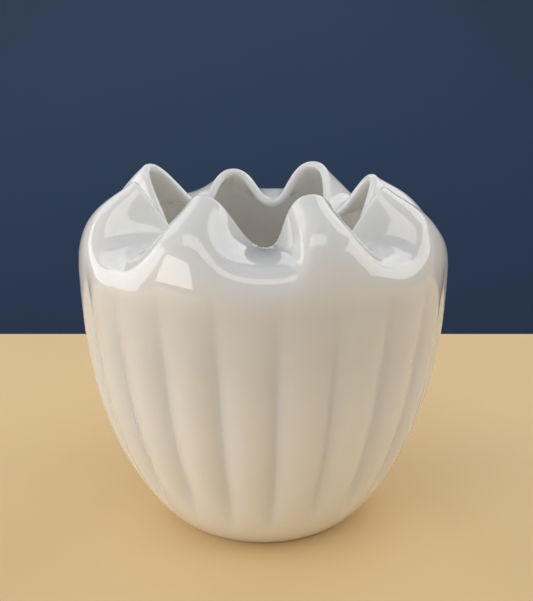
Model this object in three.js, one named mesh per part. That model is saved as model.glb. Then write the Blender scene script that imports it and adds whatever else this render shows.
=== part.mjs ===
// Milk glass vase: one piece of blown glass with 22 shallow moulded ribs, round shoulders and
// a lip that was pinched in by hand at eight places while it was hot. Millimetres, +Z up.
// The origin is on the axis, at the height of the ring that the vase stands on.
import * as THREE from 'three';

// Body
const widestRadius = 63.5;
const widestHeight = 90.5;
const footRadius = 33.6;
const bearingWidth = 4;
const pushUp = 2.5;
const heelRun = 4;
const heelRise = 2;
const sideLength = 63.7;

// Glass
const wall = 3.2;
const heelWall = 5;
const floorThickness = 4;
const thickeningPower = 0.5;

// Ribs, moulded into the outside only: round lobes with a narrow groove between them, fading
// out at a rise above the widest ring
const ribCount = 22;
const ribDepth = 1.7;
const ribTurn = 4.4;
const grooveRounding = 0.15;
const ribBottom = 8;
const ribTopRise = 10.5;
const ribBottomFade = 20;
const ribTopFade = 16;

// Lip: radii and rises of the glass's middle, the rises measured from the widest ring
const crimpCount = 8;
const crimpTurn = -3.9;
const crestReach = 43;
const crestRise = 28.5;
const troughReach = 34.5;
const troughRise = 12;
const crestBreadth = 7.7;
const troughBreadth = 6.4;

// Shoulder: how full it is, and how the sheet of glass arrives at the lip, in degrees up. A
// ridge power under 1 makes the crests broader than the pinches. The swing rate is how soon,
// going up, the glass is pulled aside as far as the lip.
const crestFullness = 21;
const troughFullness = 17;
const crestSlope = 39;
const troughSlope = -20;
const crestApproach = 9;
const troughApproach = 17;
const ridgePower = 0.85;
const swingRate = 2.5;

// What the hand did at each pinch, round from the one at the back: a turn in degrees, then
// millimetres that the lip lies further out, higher, broader, and the shoulder fuller, and
// degrees that the glass arrives steeper.
const troughHand = [
  { turn: -2, reach: 0.5, rise: 2.9, breadth: 0, fullness: 0, slope: 0 },
  { turn: 0, reach: 0.5, rise: 2.5, breadth: -1.5, fullness: 0, slope: 0 },
  { turn: -2, reach: 0, rise: -1.5, breadth: 0.8, fullness: 0, slope: 0 },
  { turn: 0, reach: 0, rise: 0, breadth: 0, fullness: -4.5, slope: 22 },
  { turn: 5.1, reach: 0.2, rise: -0.2, breadth: 2.3, fullness: -3, slope: 14 },
  { turn: 2.2, reach: 1.4, rise: -0.8, breadth: 0, fullness: -2, slope: 12 },
  { turn: 0.5, reach: -0.8, rise: 0, breadth: 0, fullness: 0, slope: 0 },
  { turn: 0.3, reach: 0, rise: 0.5, breadth: 0, fullness: 0, slope: 0 },
];
const crestHand = [
  { turn: -2.5, reach: -0.6, rise: -2.5, breadth: 0, fullness: 0, slope: 0 },
  { turn: 4, reach: 1.5, rise: 2.4, breadth: 2, fullness: -7, slope: 0 },
  { turn: -1.1, reach: 1, rise: 0.3, breadth: 0, fullness: 1.5, slope: 0 },
  { turn: 1.5, reach: -0.3, rise: 0.2, breadth: 0, fullness: 4, slope: 0 },
  { turn: 0.7, reach: 0.1, rise: 0.7, breadth: 1.5, fullness: 4, slope: 0 },
  { turn: -0.4, reach: 0.4, rise: -0.6, breadth: 0, fullness: 3.6, slope: 0 },
  { turn: 1.2, reach: -1.5, rise: -0.9, breadth: -1.5, fullness: 2, slope: 0 },
  { turn: -0.7, reach: 0, rise: 0.6, breadth: 1.5, fullness: 0, slope: 0 },
];

// Fineness of the faceted surface
const columnsPerRib = 5;
const undersideRows = 2;
const bodyRows = 11;
const shoulderRows = 13;
const lipRows = 5;
const innerShoulderRows = 11;
const innerBodyRows = 7;
const floorRows = 2;

// Small steps in azimuth and in share that give a surface's directions
const normalStep = 0.001;
const lipStep = 0.01;

const bearingInner = footRadius - bearingWidth;
const ribTop = widestHeight + ribTopRise;
const turnStep = (2 * Math.PI) / (2 * crimpCount);

// A point at an azimuth counted from the front (-Y) towards +X.
function around(azimuth, radius, height) {
  return new THREE.Vector3(radius * Math.sin(azimuth), -radius * Math.cos(azimuth), height);
}

// Eases from 0 to 1 with no slope at either end.
function ease(value) {
  return THREE.MathUtils.smoothstep(value, 0, 1);
}

// The highest and lowest places of the lip, trough and crest by turns from the back.
const lipKnots = [];
for (let i = 0; i < 2 * crimpCount; i += 1) {
  const crest = i % 2 === 1;
  const list = crest ? crestHand : troughHand;
  const hand = list[Math.floor(i / 2) % list.length];
  const azimuth = -Math.PI + i * turnStep + THREE.MathUtils.degToRad(crimpTurn + hand.turn);
  const reach = (crest ? crestReach : troughReach) + hand.reach;
  const height = widestHeight + (crest ? crestRise : troughRise) + hand.rise;
  const breadth = (crest ? crestBreadth : troughBreadth) + hand.breadth;
  lipKnots.push({
    place: around(azimuth, reach, height),
    handle: new THREE.Vector3(Math.cos(azimuth), Math.sin(azimuth), 0).multiplyScalar(breadth),
    fullness: hand.fullness,
    slope: hand.slope,
  });
}

// The lip's middle line: one curve from each knot to the next, level where it meets a knot.
const lipCurves = lipKnots.map((knot, i) => {
  const next = lipKnots[(i + 1) % lipKnots.length];
  return new THREE.CubicBezierCurve3(
    knot.place,
    knot.place.clone().add(knot.handle),
    next.place.clone().sub(next.handle),
    next.place,
  );
});

// The body's outline from the bearing ring's edge up to the widest ring.
const bodyOutline = new THREE.CubicBezierCurve(
  new THREE.Vector2(footRadius, 0),
  new THREE.Vector2(footRadius + heelRun, heelRise),
  new THREE.Vector2(widestRadius, widestHeight - sideLength),
  new THREE.Vector2(widestRadius, widestHeight),
);

// One upright line of the shoulder: its outline, and how far the lip's end is swung aside.
function shoulderLine(azimuth) {
  const place = (THREE.MathUtils.euclideanModulo(azimuth + Math.PI, 2 * Math.PI)) / turnStep;
  const index = Math.floor(place) % lipKnots.length;
  const share = place - Math.floor(place);
  const lip = lipCurves[index].getPoint(share);
  const lipRadius = Math.hypot(lip.x, lip.y);
  const swing = Math.atan2(lip.x, -lip.y) - azimuth;

  const knot = lipKnots[index];
  const next = lipKnots[(index + 1) % lipKnots.length];
  const crest = (0.5 - 0.5 * Math.cos(place * Math.PI)) ** ridgePower;
  const between = (low, high) => THREE.MathUtils.lerp(low, high, crest);
  const byHand = (low, high) => THREE.MathUtils.lerp(low, high, ease(share));
  const fullness = between(troughFullness, crestFullness) + byHand(knot.fullness, next.fullness);
  const degrees = between(troughSlope, crestSlope) + byHand(knot.slope, next.slope);
  const slope = THREE.MathUtils.degToRad(degrees);
  const approach = between(troughApproach, crestApproach);
  return {
    swing: Math.atan2(Math.sin(swing), Math.cos(swing)),
    outline: new THREE.CubicBezierCurve(
      new THREE.Vector2(widestRadius, widestHeight),
      new THREE.Vector2(widestRadius, widestHeight + fullness),
      new THREE.Vector2(lipRadius + approach * Math.cos(slope), lip.z - approach * Math.sin(slope)),
      new THREE.Vector2(lipRadius, lip.z),
    ),
  };
}

// The smooth form before ribs and thickness: share runs 0 to 1 up the body or the shoulder.
function bodyPoint(azimuth, share) {
  const point = bodyOutline.getPoint(share);
  return around(azimuth, point.x, point.y);
}
function shoulderPoint(azimuth, share) {
  const line = shoulderLine(azimuth);
  const point = line.outline.getPoint(share);
  return around(azimuth + line.swing * ease(swingRate * share), point.x, point.y);
}

// The outward normal of a form, from points a small step to each side.
function normalOf(form, azimuth, share) {
  const low = Math.max(share - normalStep, 0);
  const high = Math.min(share + normalStep, 1);
  const along = form(azimuth + normalStep, share).sub(form(azimuth - normalStep, share));
  const up = form(azimuth, high).sub(form(azimuth, low));
  return along.cross(up).normalize();
}

// How far a rib's groove is sunk at an azimuth and height: most where the sine is nought, with
// its sharp bottom rounded.
function grooveDepth(azimuth, height) {
  const turn = (ribCount / 2) * (azimuth - THREE.MathUtils.degToRad(ribTurn));
  const lobe = Math.hypot(Math.sin(turn), grooveRounding);
  const fullLobe = Math.hypot(1, grooveRounding);
  const wave = (fullLobe - lobe) / (fullLobe - grooveRounding);
  const rising = ease((height - ribBottom) / ribBottomFade);
  const ending = ease((ribTop - height) / ribTopFade);
  return ribDepth * wave * rising * ending;
}

// Outer skin of the body, and the inner skin of a wall that thickens towards the heel.
function outerBody(azimuth, share) {
  const point = bodyPoint(azimuth, share);
  const normal = normalOf(bodyPoint, azimuth, share);
  return point.addScaledVector(normal, -grooveDepth(azimuth, point.z));
}
function innerBody(azimuth, share) {
  const thickness = THREE.MathUtils.lerp(heelWall, wall, share ** thickeningPower);
  const normal = normalOf(bodyPoint, azimuth, share);
  return bodyPoint(azimuth, share).addScaledVector(normal, -thickness);
}

// Skins of the shoulder, whose form is the outer skin at the widest ring and the glass's
// middle at the lip.
function outerShoulder(azimuth, share) {
  const point = shoulderPoint(azimuth, share);
  const outward = (wall / 2) * ease(share) - grooveDepth(azimuth, point.z);
  return point.addScaledVector(normalOf(shoulderPoint, azimuth, share), outward);
}
function innerShoulder(azimuth, share) {
  const inward = wall - (wall / 2) * ease(share);
  const normal = normalOf(shoulderPoint, azimuth, share);
  return shoulderPoint(azimuth, share).addScaledVector(normal, -inward);
}

// The fire-polished lip: half a circle from the outer skin over to the inner one.
function lipRound(azimuth, share) {
  const normal = normalOf(shoulderPoint, azimuth, 1);
  const middle = shoulderPoint(azimuth, 1);
  const along = middle.clone().sub(shoulderPoint(azimuth, 1 - lipStep));
  along.addScaledVector(normal, -along.dot(normal)).normalize();
  const angle = Math.PI * share;
  return middle
    .addScaledVector(normal, (wall / 2) * Math.cos(angle))
    .addScaledVector(along, (wall / 2) * Math.sin(angle));
}

// The pushed-up underside and the floor over it: share runs from the axis to the edge.
function undersidePoint(azimuth, share) {
  return around(azimuth, bearingInner * share, pushUp * (1 - share ** 2));
}
function floorPoint(azimuth, share) {
  const edge = innerBody(azimuth, 0);
  const height = THREE.MathUtils.lerp(pushUp + floorThickness, edge.z, share ** 2);
  return around(azimuth, Math.hypot(edge.x, edge.y) * share, height);
}

// The rows of the surface, from the underside's centre out, up, over the lip and down inside.
function rowList() {
  const rows = [];
  const addRows = (form, count, first, last) => {
    for (let i = 1; i <= count; i += 1) {
      rows.push((azimuth) => form(azimuth, THREE.MathUtils.lerp(first, last, i / count)));
    }
  };
  addRows(undersidePoint, undersideRows, 0, 1);
  rows.push((azimuth) => around(azimuth, footRadius, 0));
  addRows(outerBody, bodyRows, 0, 1);
  addRows(outerShoulder, shoulderRows, 0, 1);
  addRows(lipRound, lipRows, 0, 1);
  addRows(innerShoulder, innerShoulderRows, 1, 0);
  addRows(innerBody, innerBodyRows, 1, 0);
  addRows(floorPoint, floorRows, 1, 1 / (floorRows + 1));
  return rows;
}

// One closed surface: rows of columns, with a single point on the axis at either end.
function closedSurface(rows, columns, start, firstPole, lastPole) {
  const positions = [...firstPole.toArray()];
  rows.forEach((row) => {
    for (let column = 0; column < columns; column += 1) {
      positions.push(...row(start + (column * 2 * Math.PI) / columns).toArray());
    }
  });
  positions.push(...lastPole.toArray());

  const vertex = (row, column) => 1 + row * columns + (column % columns);
  const lastVertex = 1 + rows.length * columns;
  const triangles = [];
  for (let column = 0; column < columns; column += 1) {
    triangles.push(0, vertex(0, column + 1), vertex(0, column));
    for (let row = 0; row + 1 < rows.length; row += 1) {
      const corners = [
        vertex(row, column),
        vertex(row, column + 1),
        vertex(row + 1, column + 1),
        vertex(row + 1, column),
      ];
      triangles.push(corners[0], corners[1], corners[2], corners[0], corners[2], corners[3]);
    }
    triangles.push(vertex(rows.length - 1, column), vertex(rows.length - 1, column + 1), lastVertex);
  }

  const geometry = new THREE.BufferGeometry();
  geometry.setAttribute('position', new THREE.Float32BufferAttribute(positions, 3));
  geometry.setIndex(triangles);
  geometry.computeVertexNormals();
  return geometry;
}

const milkGlass = new THREE.MeshStandardMaterial({
  color: 0xe8e6df,
  roughness: 0.12,
  metalness: 0,
});

const glassBody = new THREE.Mesh(
  closedSurface(
    rowList(),
    ribCount * columnsPerRib,
    THREE.MathUtils.degToRad(ribTurn),
    new THREE.Vector3(0, 0, pushUp),
    new THREE.Vector3(0, 0, pushUp + floorThickness),
  ),
  milkGlass,
);
glassBody.name = 'glass_body';

const vase = new THREE.Group();
vase.name = 'milk_glass_vase';
vase.add(glassBody);

export default vase;
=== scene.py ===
# %% [markdown]
# The real object is one piece of opaque white glass, blown into a ribbed mould and then
# pinched at the lip while it was hot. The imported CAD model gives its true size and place,
# so it is loaded first and never moved. Its box is kept, because everything that is made
# here has to stay inside it.

# %% Load the fixed frame
import math

import bpy
import numpy as np
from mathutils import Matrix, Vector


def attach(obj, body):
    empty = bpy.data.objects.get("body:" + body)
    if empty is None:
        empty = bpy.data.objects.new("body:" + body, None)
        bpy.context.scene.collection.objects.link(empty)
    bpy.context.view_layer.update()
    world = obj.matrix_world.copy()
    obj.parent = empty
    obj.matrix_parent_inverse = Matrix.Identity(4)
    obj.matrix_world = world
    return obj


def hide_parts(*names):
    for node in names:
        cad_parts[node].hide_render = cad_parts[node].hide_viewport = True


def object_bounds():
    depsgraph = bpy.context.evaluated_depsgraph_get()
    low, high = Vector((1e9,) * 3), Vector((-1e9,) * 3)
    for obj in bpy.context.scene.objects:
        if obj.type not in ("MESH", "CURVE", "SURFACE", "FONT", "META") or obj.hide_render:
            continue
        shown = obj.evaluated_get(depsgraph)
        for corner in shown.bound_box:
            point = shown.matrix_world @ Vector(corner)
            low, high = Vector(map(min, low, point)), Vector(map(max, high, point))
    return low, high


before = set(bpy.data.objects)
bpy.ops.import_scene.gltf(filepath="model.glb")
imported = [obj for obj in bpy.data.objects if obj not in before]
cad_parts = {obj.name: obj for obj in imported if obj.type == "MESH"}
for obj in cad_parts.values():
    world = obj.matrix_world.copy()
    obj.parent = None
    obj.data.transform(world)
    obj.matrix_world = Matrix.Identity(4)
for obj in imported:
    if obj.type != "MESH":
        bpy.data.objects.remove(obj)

CAD_LOW, CAD_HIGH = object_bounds()
MM = 0.001
print("CAD box in mm:", [round((high - low) / MM, 1) for low, high in zip(CAD_LOW, CAD_HIGH)])

# %% [markdown]
# The photograph looks a little down on the vase from close by. Where the outline, the ribs
# and the lip fall in it gives the camera's distance, pitch and height. A picture that is
# taller than wide has Blender's sensor width on its long side, so the lens comes from that.

# %% Camera at the photograph's angle
FRAME_WIDTH = 533
FRAME_HEIGHT = 601
FOCAL_PIXELS = 850.0
AXIS_PIXEL = 263.0
SENSOR = 36.0
CAMERA_DISTANCE = 301.9 * MM
CAMERA_PITCH = math.radians(16.371)
TARGET_HEIGHT = 76.6 * MM
NEAREST_SEEN = 10.0 * MM


def make_camera():
    """A camera on the axis's plane, CAMERA_DISTANCE from the target and pitched down at it."""
    camera = bpy.data.objects.new("camera", bpy.data.cameras.new("camera"))
    bpy.context.scene.collection.objects.link(camera)
    back = CAMERA_DISTANCE * math.cos(CAMERA_PITCH)
    rise = CAMERA_DISTANCE * math.sin(CAMERA_PITCH)
    camera.location = (0.0, -back, TARGET_HEIGHT + rise)
    camera.rotation_euler = (math.pi / 2 - CAMERA_PITCH, 0.0, 0.0)
    camera.data.sensor_width = SENSOR
    camera.data.lens = FOCAL_PIXELS / FRAME_HEIGHT * SENSOR
    camera.data.shift_x = (FRAME_WIDTH / 2 - AXIS_PIXEL) / FRAME_HEIGHT
    camera.data.clip_start = NEAREST_SEEN
    return camera


camera = make_camera()
bpy.context.scene.camera = camera
print("camera height %.1f mm, lens %.1f mm" % (camera.location.z / MM, camera.data.lens))

# %% [markdown]
# A blown shape is best described the way it was made: a round body from the mould, a
# shoulder that closes over it, and a lip that the tool pulled in at eight places. The sizes
# below are the real ones in millimetres. Each pinch has its own small values, because
# no two pinches of the real lip are alike: how far it is turned round the axis, moved out,
# moved up and made broader, and how full and how steep the shoulder under it is.

# %% Sizes of the glass
WIDEST_RADIUS = 63.5 * MM
WIDEST_HEIGHT = 90.5 * MM
FOOT_RADIUS = 33.6 * MM
BEARING_WIDTH = 4.0 * MM
PUSH_UP = 2.5 * MM
HEEL_RUN = 4.0 * MM
HEEL_RISE = 2.0 * MM
SIDE_LENGTH = 63.7 * MM

WALL = 3.2 * MM
HEEL_WALL = 5.0 * MM
FLOOR_THICKNESS = 4.0 * MM

RIB_COUNT = 22
RIB_DEPTH = 2.1 * MM
RIB_TURN = math.radians(3.7)
GROOVE_ROUNDING = 0.07
RIB_BOTTOM = 8.0 * MM
RIB_TOP = 102.0 * MM
RIB_BOTTOM_FADE = 20.0 * MM
RIB_TOP_FADE = 38.0 * MM

CRIMP_COUNT = 8
CRIMP_TURN = -3.9
CREST = {"reach": 43.0, "rise": 28.5, "breadth": 7.7}
TROUGH = {"reach": 34.5, "rise": 12.0, "breadth": 6.4}
CREST_FULLNESS, TROUGH_FULLNESS = 21.0 * MM, 17.0 * MM
CREST_SLOPE, TROUGH_SLOPE = math.radians(39.0), math.radians(-20.0)
RIDGE_POWER = 0.85
SWING_RATE = 2.5
CREST_APPROACH, TROUGH_APPROACH = 9.0 * MM, 17.0 * MM

# turn in degrees, reach, rise, breadth and fullness in millimetres, slope in degrees,
# from the back round
TROUGH_HAND = [
    (-2.0, 0.5, 2.9, 0.0, 0.0, 0.0),
    (0.0, 0.5, 2.5, -1.5, 0.0, 0.0),
    (-2.0, 0.0, -1.5, 0.8, 0.0, 0.0),
    (0.0, 0.0, 0.0, 0.0, -4.5, 22.0),
    (5.1, 0.2, -0.2, 2.3, -3.0, 14.0),
    (2.2, 1.4, -0.8, 0.0, -2.0, 12.0),
    (0.5, -0.8, 0.0, 0.0, 0.0, 0.0),
    (0.3, 0.0, 0.5, 0.0, 0.0, 0.0),
]
CREST_HAND = [
    (-2.5, -0.6, -2.5, 0.0, 0.0, 0.0),
    (4.0, 1.5, 2.4, 2.0, -7.0, 0.0),
    (-1.1, 1.0, 0.3, 0.0, 1.5, 0.0),
    (1.5, -0.3, 0.2, 0.0, 4.0, 0.0),
    (0.7, 0.1, 0.7, 1.5, 4.0, 0.0),
    (-0.4, 0.4, -0.6, 0.0, 3.6, 0.0),
    (1.2, -1.5, -0.9, -1.5, 2.0, 0.0),
    (-0.7, 0.0, 0.6, 1.5, 0.0, 0.0),
]
KNOT_COUNT = 2 * CRIMP_COUNT
KNOT_STEP = 2 * math.pi / KNOT_COUNT
print("pinches:", CRIMP_COUNT, "ribs:", RIB_COUNT)

# %% [markdown]
# The lip is the hardest curve, and it carries the whole look. It runs level through the
# bottom of each pinch and over the top of each crest. One cubic Bezier piece from each of
# those sixteen places to the next does that with few numbers, and stays smooth when one of
# them is moved. It is worked out for a whole row of directions at once.


# %% The lip's middle line
def bezier(first, second, third, fourth, share):
    """The cubic Bezier of four points or numbers, at a share of the way from 0 to 1."""
    rest = 1 - share
    return (rest**3 * first + 3 * rest**2 * share * second
            + 3 * rest * share**2 * third + share**3 * fourth)


def ease(value):
    """From 0 to 1 with no slope at either end: 3 v squared less 2 v cubed, v kept in 0 to 1."""
    kept = np.clip(value, 0.0, 1.0)
    return kept * kept * (3 - 2 * kept)


def mix(low, high, share):
    """A straight blend from low to high."""
    return low + (high - low) * share


def around(azimuth, radius, height):
    """Points at an azimuth counted from the front, which is -Y, towards +X."""
    parts = np.broadcast_arrays(radius * np.sin(azimuth), -radius * np.cos(azimuth), height)
    return np.stack(parts, axis=-1)


def lip_knots():
    """Places, level handles, and the shoulder's fullness and slope, at the low and high points."""
    places, handles, fullness, slopes = [], [], [], []
    for index in range(KNOT_COUNT):
        crest = index % 2 == 1
        base = CREST if crest else TROUGH
        hand = (CREST_HAND if crest else TROUGH_HAND)[index // 2]
        turn = -math.pi + index * KNOT_STEP + math.radians(CRIMP_TURN + hand[0])
        height = WIDEST_HEIGHT + (base["rise"] + hand[2]) * MM
        breadth = (base["breadth"] + hand[3]) * MM
        places.append(around(turn, (base["reach"] + hand[1]) * MM, height))
        handles.append(np.array([math.cos(turn), math.sin(turn), 0.0]) * breadth)
        fullness.append(hand[4] * MM)
        slopes.append(math.radians(hand[5]))
    return np.array(places), np.array(handles), np.array(fullness), np.array(slopes)


PLACES, HANDLES, FULLNESS, SLOPES = lip_knots()


def between_knots(azimuth):
    """The knots before and after a direction, and the share of the way from one to the other."""
    place = np.mod(azimuth + math.pi, 2 * math.pi) / KNOT_STEP
    before = np.floor(place).astype(int)
    return before % KNOT_COUNT, (before + 1) % KNOT_COUNT, place - before


def lip_middle(azimuth):
    """The lip's middle line: a Bezier from each knot to the next, with the knots' handles."""
    before, after, way = between_knots(azimuth)
    return bezier(PLACES[before], PLACES[before] + HANDLES[before],
                  PLACES[after] - HANDLES[after], PLACES[after], way[..., None])


lip = lip_middle(np.linspace(-math.pi, math.pi, 721))
print("lip from %.1f to %.1f mm high" % (lip[:, 2].min() / MM, lip[:, 2].max() / MM))

# %% [markdown]
# Below the lip the glass is a surface of two parameters: the direction round the axis and
# the share of the way up. The body is one outline turned round the axis. The shoulder has
# its own outline in every direction, because it starts level with the mould's widest ring
# and ends at the wavy lip, high and steep under a crest and low and flat behind a pinch.


# %% Body and shoulder
def body_form(azimuth, share):
    """The body: a Bezier outline from the bearing ring to the widest ring, turned round."""
    radius = bezier(FOOT_RADIUS, FOOT_RADIUS + HEEL_RUN, WIDEST_RADIUS, WIDEST_RADIUS, share)
    height = bezier(0.0, HEEL_RISE, WIDEST_HEIGHT - SIDE_LENGTH, WIDEST_HEIGHT, share)
    return around(azimuth, radius, height)


def shoulder_form(azimuth, share):
    """The shoulder: a Bezier outline from the widest ring up over to the lip in each direction.

    Crest goes from 0 behind a pinch to 1 under a crest: half of one less a cosine, to a power
    below one so that the crests are broad. It blends the outline's fullness and the slope at
    which it arrives, and the values listed for each pinch are added. The outline is swung
    aside as far as the pinch pulled the lip.
    """
    before, after, way = between_knots(azimuth)
    end = lip_middle(azimuth)
    radius = np.hypot(end[..., 0], end[..., 1])
    swing = np.arctan2(end[..., 0], -end[..., 1]) - azimuth
    swing = np.arctan2(np.sin(swing), np.cos(swing))

    crest = (0.5 - 0.5 * np.cos((before + way) * math.pi)) ** RIDGE_POWER
    fullness = mix(TROUGH_FULLNESS, CREST_FULLNESS, crest)
    fullness = fullness + mix(FULLNESS[before], FULLNESS[after], ease(way))
    slope = mix(TROUGH_SLOPE, CREST_SLOPE, crest)
    slope = slope + mix(SLOPES[before], SLOPES[after], ease(way))
    approach = mix(TROUGH_APPROACH, CREST_APPROACH, crest)
    out = bezier(WIDEST_RADIUS, WIDEST_RADIUS, radius + approach * np.cos(slope), radius, share)
    up = bezier(WIDEST_HEIGHT, WIDEST_HEIGHT + fullness,
                end[..., 2] - approach * np.sin(slope), end[..., 2], share)
    return around(azimuth + swing * ease(SWING_RATE * share), out, up)


# how far a form is followed either way, round and up, to find its directions
NORMAL_STEP = 0.001


def outward(form, azimuth, share):
    """The outward normal of a form: the cross product of its two directions, made one long."""
    along = form(azimuth + NORMAL_STEP, share) - form(azimuth - NORMAL_STEP, share)
    low = np.maximum(share - NORMAL_STEP, 0.0)
    high = np.minimum(share + NORMAL_STEP, 1.0)
    cross = np.cross(along, form(azimuth, high) - form(azimuth, low))
    return cross / np.linalg.norm(cross, axis=-1, keepdims=True)


print("shoulder over a crest ends at", np.round(shoulder_form(KNOT_STEP, 1.0) / MM, 1))

# %% [markdown]
# The ribs come from the mould, so only the outside has them. In the photograph light turns
# to dark quickly across each groove and slowly over each rib, so a rib is a round arc and
# the groove between two is narrow. They start low on the heel and die away slowly above,
# where the shoulder was stretched out of the mould. The wall is thick at the heel and
# thinner above, as gravity leaves it in a blown piece.


# %% Ribs and thickness
def groove(azimuth, height):
    """How deep the groove is, faded out below and above.

    Across goes evenly from 0 in a groove to 1 on the middle of a rib. The depth is the square
    of what is left of it, so each rib is an arc, and the groove's sharp bottom is rounded.
    """
    across = np.arcsin(np.abs(np.sin(RIB_COUNT / 2 * (azimuth - RIB_TURN)))) / (math.pi / 2)
    full = math.hypot(1.0, GROOVE_ROUNDING)
    wave = ((full - np.hypot(across, GROOVE_ROUNDING)) / (full - GROOVE_ROUNDING)) ** 2
    rising = ease((height - RIB_BOTTOM) / RIB_BOTTOM_FADE)
    ending = ease((RIB_TOP - height) / RIB_TOP_FADE)
    return RIB_DEPTH * wave * rising * ending


def outer_body(azimuth, share):
    """The body's outside: the form, sunk by the grooves along its normal."""
    point = body_form(azimuth, share)
    return point - outward(body_form, azimuth, share) * groove(azimuth, point[..., 2])[..., None]


def inner_body(azimuth, share):
    """The body's inside: the form, less a wall that thins with the root of the share."""
    thickness = mix(HEEL_WALL, WALL, np.sqrt(share))[..., None]
    return body_form(azimuth, share) - outward(body_form, azimuth, share) * thickness


def outer_shoulder(azimuth, share):
    """The shoulder's outside: the form, moved out to half a wall at the lip, less the groove."""
    point = shoulder_form(azimuth, share)
    out = WALL / 2 * ease(share) - groove(azimuth, point[..., 2])
    return point + outward(shoulder_form, azimuth, share) * out[..., None]


def inner_shoulder(azimuth, share):
    """The shoulder's inside: a whole wall in at the widest ring, and half of one at the lip."""
    inward = (WALL - WALL / 2 * ease(share))[..., None]
    return shoulder_form(azimuth, share) - outward(shoulder_form, azimuth, share) * inward


# how far below the lip the shoulder is looked at to find which way it runs out
LIP_STEP = 0.01


def lip_round(azimuth, share):
    """The fire-polished edge: half a circle, half a wall in radius, from outside to inside."""
    middle = shoulder_form(azimuth, 1.0)
    normal = outward(shoulder_form, azimuth, 1.0)
    along = middle - shoulder_form(azimuth, 1.0 - LIP_STEP)
    along = along - normal * np.sum(along * normal, axis=-1, keepdims=True)
    along = along / np.linalg.norm(along, axis=-1, keepdims=True)
    angle = math.pi * share[..., None]
    return middle + WALL / 2 * (normal * np.cos(angle) + along * np.sin(angle))


def underside(azimuth, share):
    """The pushed-up underside: a shallow bowl from the axis to the bearing ring."""
    return around(azimuth, (FOOT_RADIUS - BEARING_WIDTH) * share, PUSH_UP * (1 - share**2))


def floor_inside(azimuth, share):
    """The inside floor: a shallow bowl from the axis to the inner wall's lowest ring."""
    edge = inner_body(azimuth, np.zeros_like(share))
    height = mix(PUSH_UP + FLOOR_THICKNESS, edge[..., 2], share**2)
    return around(azimuth, np.hypot(edge[..., 0], edge[..., 1]) * share, height)


print("groove depth at mid height: %.2f mm" % (groove(RIB_TURN, 0.05) / MM))

# %% [markdown]
# All the skins join into one closed surface: from a point in the middle of the underside,
# out and up the outside, over the lip, and down inside to a point on the floor. One grid of
# rows and columns with a single point at either end has no seam and no hole, and numpy
# works out every corner and face without a loop over them.

# %% One closed surface
COLUMNS = 660
# form, how many rows, and the share from which and to which they go
ROWS = [
    (underside, 4, 0.0, 1.0),
    (outer_body, 40, 0.0, 1.0),
    (outer_shoulder, 54, 0.0, 1.0),
    (lip_round, 9, 0.0, 1.0),
    (inner_shoulder, 26, 1.0, 0.0),
    (inner_body, 10, 1.0, 0.0),
    (floor_inside, 5, 1.0, 0.1),
]


def surface_rows():
    """Every row of the surface as one array of rows by columns by three coordinates."""
    azimuth = RIB_TURN + np.arange(COLUMNS)[None, :] * (2 * math.pi / COLUMNS)
    bands = []
    for form, count, first, last in ROWS:
        shares = mix(first, last, np.arange(1, count + 1) / count)[:, None]
        bands.append(form(*np.broadcast_arrays(azimuth, shares)))
        if form is underside:
            # the flat bearing ring, from the underside's edge out to the body
            bands.append(around(azimuth, FOOT_RADIUS, 0.0))
    return np.concatenate(bands, axis=0)


def grid_faces(rows, columns):
    """The quads between rows, and a fan of triangles to the point at either end."""
    here = np.arange(rows * columns).reshape(rows, columns) + 1
    turned = np.roll(here, -1, axis=1)
    quads = np.stack([here[:-1], turned[:-1], turned[1:], here[1:]], axis=-1).reshape(-1, 4)
    last = rows * columns + 1
    first_fan = np.stack([np.zeros(columns, int), turned[0], here[0]], axis=-1)
    last_fan = np.stack([here[-1], turned[-1], np.full(columns, last)], axis=-1)
    return quads, np.concatenate([first_fan, last_fan])


def make_mesh(name, points, quads, triangles):
    """A smooth mesh from arrays of points, quads and triangles."""
    mesh = bpy.data.meshes.new(name)
    corners = np.concatenate([quads.ravel(), triangles.ravel()])
    sizes = np.concatenate([np.full(len(quads), 4), np.full(len(triangles), 3)])
    mesh.vertices.add(len(points))
    mesh.vertices.foreach_set("co", points.astype(np.float32).ravel())
    mesh.loops.add(len(corners))
    mesh.loops.foreach_set("vertex_index", corners.astype(np.int32))
    mesh.polygons.add(len(sizes))
    mesh.polygons.foreach_set("loop_start", (np.cumsum(sizes) - sizes).astype(np.int32))
    mesh.polygons.foreach_set("use_smooth", np.ones(len(sizes), bool))
    mesh.update(calc_edges=True)
    mesh.validate()
    return mesh


def make_object(name, mesh):
    """An object at the origin that shows a mesh."""
    made = bpy.data.objects.new(name, mesh)
    bpy.context.scene.collection.objects.link(made)
    return made


rows = surface_rows()
under_point = [[0.0, 0.0, PUSH_UP]]
floor_point = [[0.0, 0.0, PUSH_UP + FLOOR_THICKNESS]]
points = np.concatenate([under_point, rows.reshape(-1, 3), floor_point])

# The finer grid reaches a hair past the CAD's flat facets, so it is scaled into the CAD's box.
own_size = points.max(axis=0) - points.min(axis=0)
fit = min(1.0, float(np.min((np.array(CAD_HIGH) - np.array(CAD_LOW)) / own_size)))
points = points * fit
quads, triangles = grid_faces(len(rows), COLUMNS)
glass = make_object("milk_glass_body", make_mesh("milk_glass_body", points, quads, triangles))
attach(glass, "root")
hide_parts("glass_body")
print("triangles:", 2 * len(quads) + len(triangles), "fitted to the frame by %.5f" % fit)

# %% [markdown]
# Shader maths reads best as plain expressions, so one small class wraps a socket. Adding,
# taking away or multiplying such wires adds the Math nodes, and one method makes any other
# node from its type, its settings and what its sockets get. A socket is named by its label,
# or by its number where several have the same label.


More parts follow.
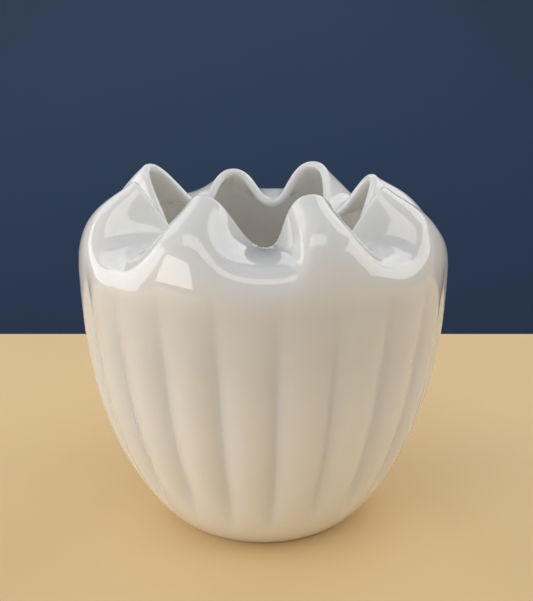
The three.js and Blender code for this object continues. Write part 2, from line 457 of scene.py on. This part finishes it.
# %% Shader maths as expressions
class Wire:
    """A socket in a material's node tree that can be used in sums and products."""

    def __init__(self, tree, socket=None):
        self.tree = tree
        self.socket = socket

    def node(self, kind, settings, sockets, output=0):
        """Adds a node: its settings are set first, then each socket gets a value or a link."""
        made = self.tree.nodes.new(kind)
        for name, value in settings.items():
            setattr(made, name, value)
        for name, value in sockets.items():
            if isinstance(value, Wire):
                self.tree.links.new(value.socket, made.inputs[name])
            else:
                made.inputs[name].default_value = value
        return Wire(self.tree, made.outputs[output])

    def maths(self, operation, first, second):
        """A Math node of one operation on two values."""
        return self.node("ShaderNodeMath", {"operation": operation}, {0: first, 1: second})

    def __add__(self, other):
        return self.maths("ADD", self, other)

    def __sub__(self, other):
        return self.maths("SUBTRACT", self, other)

    def __rsub__(self, other):
        return self.maths("SUBTRACT", other, self)

    def __mul__(self, other):
        return self.maths("MULTIPLY", self, other)

    __radd__ = __add__


def new_material(name):
    """A material with an empty tree, a start wire for it, and its output node."""
    material = bpy.data.materials.new(name)
    material.use_nodes = True
    tree = material.node_tree
    tree.nodes.clear()
    return material, Wire(tree), tree.nodes.new("ShaderNodeOutputMaterial")


def smooth_step(value, low, high):
    """0 below low and 1 above high, eased in between, from one Map Range node."""
    settings = {"interpolation_type": "SMOOTHSTEP"}
    return value.node("ShaderNodeMapRange", settings,
                      {"Value": value, "From Min": low, "From Max": high})


MIX_LOW_COLOUR, MIX_HIGH_COLOUR, MIX_COLOUR_OUT = 6, 7, 2


def colour_mix(factor, low, high):
    """A colour that goes from low to high as the factor goes from 0 to 1."""
    sockets = {"Factor": factor, MIX_LOW_COLOUR: low, MIX_HIGH_COLOUR: high}
    return factor.node("ShaderNodeMix", {"data_type": "RGBA"}, sockets, MIX_COLOUR_OUT)


print("wire class ready")

# %% [markdown]
# Milk glass is white all through, made cloudy by tiny crystals, with a clear fire-polished
# skin. Light goes a few millimetres into it, so its shadows are soft and its thin lip
# glows a little: that is the constant subsurface part. The skin reflects lamps as sharply as
# any glass, so the roughness is low. What varies is faint: cloudy drifts in the white, a
# band of painted shade that greys the upper body around and below the widest ring so that
# it reads less lit than the lower body, finger-soft smears in the gloss, and the dull ring
# that the vase has worn by standing.

# %% Milk glass
CREAM_WHITE = (0.920, 0.908, 0.870, 1.0)
COOL_WHITE = (0.908, 0.903, 0.880, 1.0)
# the grey of the painted shade band on the upper body
PAINTED_SHADE_WHITE = (0.790, 0.790, 0.775, 1.0)
WORN_WHITE = (0.760, 0.750, 0.720, 1.0)
CLOUD_SCALE, CLOUD_DETAIL = 26.0, 3.0
CLOUD_LOW, CLOUD_HIGH = 0.35, 0.65
SMEAR_SCALE, SMEAR_DETAIL = 70.0, 4.0
SMEAR_LOW, SMEAR_HIGH = 0.5, 0.75
RIPPLE_SCALE, RIPPLE_DETAIL = 95.0, 1.0
RIPPLE_DEPTH = 0.02 * MM

# a band of painted shade: the white greys in from 45 mm, is fully grey from 82 to 88 mm and fades
# out by 101 mm
SHADE_BAND_FROM, SHADE_BAND_FULL = 45.0 * MM, 82.0 * MM
SHADE_BAND_FADE_FROM, SHADE_BAND_GONE = 88.0 * MM, 101.0 * MM
WORN_FULL, WORN_END = 0.1 * MM, 0.5 * MM

GLASS_IOR = 1.6
CLEAR_ROUGHNESS = 0.03
SMEARED_ROUGHNESS = 0.08
WORN_ROUGHNESS = 0.45
SKIN_WEIGHT = 0.4
SCATTER_COLOURS = (1.0, 0.9, 0.75)
SCATTER_LENGTH = 6.0 * MM


def milk_glass():
    """Clouds tint the white, painted shade greys the upper body, smears and a worn ring dull it.
    """
    material, start, output = new_material("milk_glass")
    place = start.node("ShaderNodeTexCoord", {}, {}, "Object")
    cloud = start.node("ShaderNodeTexNoise", {},
                       {"Vector": place, "Scale": CLOUD_SCALE, "Detail": CLOUD_DETAIL})
    smear = start.node("ShaderNodeTexNoise", {},
                       {"Vector": place, "Scale": SMEAR_SCALE, "Detail": SMEAR_DETAIL})
    ripple = start.node("ShaderNodeTexNoise", {},
                        {"Vector": place, "Scale": RIPPLE_SCALE, "Detail": RIPPLE_DETAIL})
    height = start.node("ShaderNodeSeparateXYZ", {}, {"Vector": place}, "Z")
    # painted shade: the upper body is greyed so that it reads less lit than the lower body
    painted_shade_band = smooth_step(height, SHADE_BAND_FROM, SHADE_BAND_FULL) - smooth_step(height, SHADE_BAND_FADE_FROM, SHADE_BAND_GONE)
    worn = 1.0 - smooth_step(height, WORN_FULL, WORN_END)

    white = colour_mix(smooth_step(cloud, CLOUD_LOW, CLOUD_HIGH), COOL_WHITE, CREAM_WHITE)
    white = colour_mix(painted_shade_band, white, PAINTED_SHADE_WHITE)
    white = colour_mix(worn, white, WORN_WHITE)
    smeared = smooth_step(smear, SMEAR_LOW, SMEAR_HIGH)
    gloss = CLEAR_ROUGHNESS + smeared * (SMEARED_ROUGHNESS - CLEAR_ROUGHNESS)
    gloss = gloss + worn * (WORN_ROUGHNESS - CLEAR_ROUGHNESS)
    skin = start.node("ShaderNodeBump", {}, {"Height": ripple, "Distance": RIPPLE_DEPTH})
    shader = start.node("ShaderNodeBsdfPrincipled", {}, {
        "Base Color": white,
        "Roughness": gloss,
        "Normal": skin,
        "IOR": GLASS_IOR,
        "Coat Weight": SKIN_WEIGHT,
        "Coat Roughness": CLEAR_ROUGHNESS,
        "Coat IOR": GLASS_IOR,
        "Subsurface Weight": 1.0,
        "Subsurface Radius": SCATTER_COLOURS,
        "Subsurface Scale": SCATTER_LENGTH,
    })
    start.tree.links.new(shader.socket, output.inputs["Surface"])
    return material


glass.data.materials.append(milk_glass())
print("milk glass nodes:", len(glass.data.materials[0].node_tree.nodes))

# %% [markdown]
# White glass takes its tones from what is round it: the lower body is warm from what it
# stands on, and its edges mirror what is behind it. So the floor is one plain pale warm sheet
# that ends behind the vase, and the backdrop is one plain dark sheet further back, which
# leaves room to look at the vase from behind.

# %% Floor and backdrop
FLOOR_COLOUR = (0.93, 0.68, 0.36, 1.0)
BACKDROP_COLOUR = (0.02, 0.05, 0.12, 1.0)
FLOOR_BACK = 190.0 * MM
BACKDROP_BACK = 640.0 * MM
BACKDROP_LOW = -500.0 * MM
STAGE_SIZE = 2.4
MATT_ROUGHNESS = 0.7
GRAIN_SCALE, GRAIN_DETAIL = 9.0, 2.0
GRAIN_SHADE = 0.96


def plain_material(name, colour):
    """A matt material of one colour, with a faint grain so that it isn't a dead flat tone."""
    material, start, output = new_material(name)
    place = start.node("ShaderNodeTexCoord", {}, {}, "Object")
    grain = start.node("ShaderNodeTexNoise", {},
                       {"Vector": place, "Scale": GRAIN_SCALE, "Detail": GRAIN_DETAIL})
    darker = tuple(part * GRAIN_SHADE for part in colour[:3]) + (1.0,)
    shader = start.node("ShaderNodeBsdfPrincipled", {}, {
        "Base Color": colour_mix(grain, darker, colour),
        "Roughness": MATT_ROUGHNESS,
    })
    start.tree.links.new(shader.socket, output.inputs["Surface"])
    return material


def make_sheet(name, corners):
    """A flat sheet from four corners."""
    quads = np.array([[0, 1, 2, 3]])
    return make_object(name, make_mesh(name, np.array(corners), quads, np.zeros((0, 3), int)))


half = STAGE_SIZE / 2
floor = make_sheet("floor", [(-half, -half, 0.0), (half, -half, 0.0),
                             (half, FLOOR_BACK, 0.0), (-half, FLOOR_BACK, 0.0)])
floor.data.materials.append(plain_material("floor", FLOOR_COLOUR))
backdrop = make_sheet("backdrop", [(-half, BACKDROP_BACK, BACKDROP_LOW),
                                   (half, BACKDROP_BACK, BACKDROP_LOW),
                                   (half, BACKDROP_BACK, half), (-half, BACKDROP_BACK, half)])
backdrop.data.materials.append(plain_material("backdrop", BACKDROP_COLOUR))
print("floor ends %.0f mm behind the axis" % (FLOOR_BACK / MM))

# %% [markdown]
# The ribs show because most of the light comes from the left. One large soft lamp to the
# left and one to the front left give it, and also the broad bright bands on the crests. A
# weaker one to the right and two behind lift the far side and shine through the thin glass
# into the vase, one above lights the shoulder, and an even dim world fills the rest.

# %% Lamps and world
WORLD_COLOUR = (1.0, 1.0, 1.0, 1.0)
WORLD_STRENGTH = 0.29

# name, azimuth and elevation in degrees, distance, width and height in metres, radiance
LAMPS = [
    ("left_lamp", -94.0, 13.0, 0.9, 0.60, 0.54, 1.75),
    ("front_left_lamp", -52.0, 13.0, 0.9, 0.50, 0.44, 2.55),
    ("right_lamp", 88.0, 24.0, 0.9, 0.60, 0.50, 1.6),
    ("back_left_lamp", -136.0, 42.0, 0.55, 0.50, 0.36, 0.95),
    ("back_right_lamp", 136.0, 42.0, 0.55, 0.50, 0.36, 1.35),
    ("ceiling_lamp", -5.0, 66.0, 0.9, 0.90, 0.30, 1.6),
]


def soft_lamp(name, azimuth, elevation, distance, width, height, radiance):
    """A rectangular lamp that faces the glass. Its power is radiance times pi times its area."""
    lamp = bpy.data.objects.new(name, bpy.data.lights.new(name, "AREA"))
    lamp.data.shape = "RECTANGLE"
    lamp.data.size = width
    lamp.data.size_y = height
    lamp.data.energy = radiance * math.pi * width * height
    turn, lift = math.radians(azimuth), math.radians(elevation)
    lamp.location = (distance * math.cos(lift) * math.sin(turn),
                     -distance * math.cos(lift) * math.cos(turn),
                     TARGET_HEIGHT + distance * math.sin(lift))
    lamp.rotation_euler = (math.pi / 2 - lift, 0.0, turn)
    bpy.context.scene.collection.objects.link(lamp)
    return lamp


for settings in LAMPS:
    soft_lamp(*settings)
world = bpy.data.worlds.new("world")
world.use_nodes = True
background = world.node_tree.nodes["Background"]
background.inputs["Color"].default_value = WORLD_COLOUR
background.inputs["Strength"].default_value = WORLD_STRENGTH
bpy.context.scene.world = world
bpy.context.scene.view_settings.view_transform = "Standard"
print("lamps:", len(LAMPS))
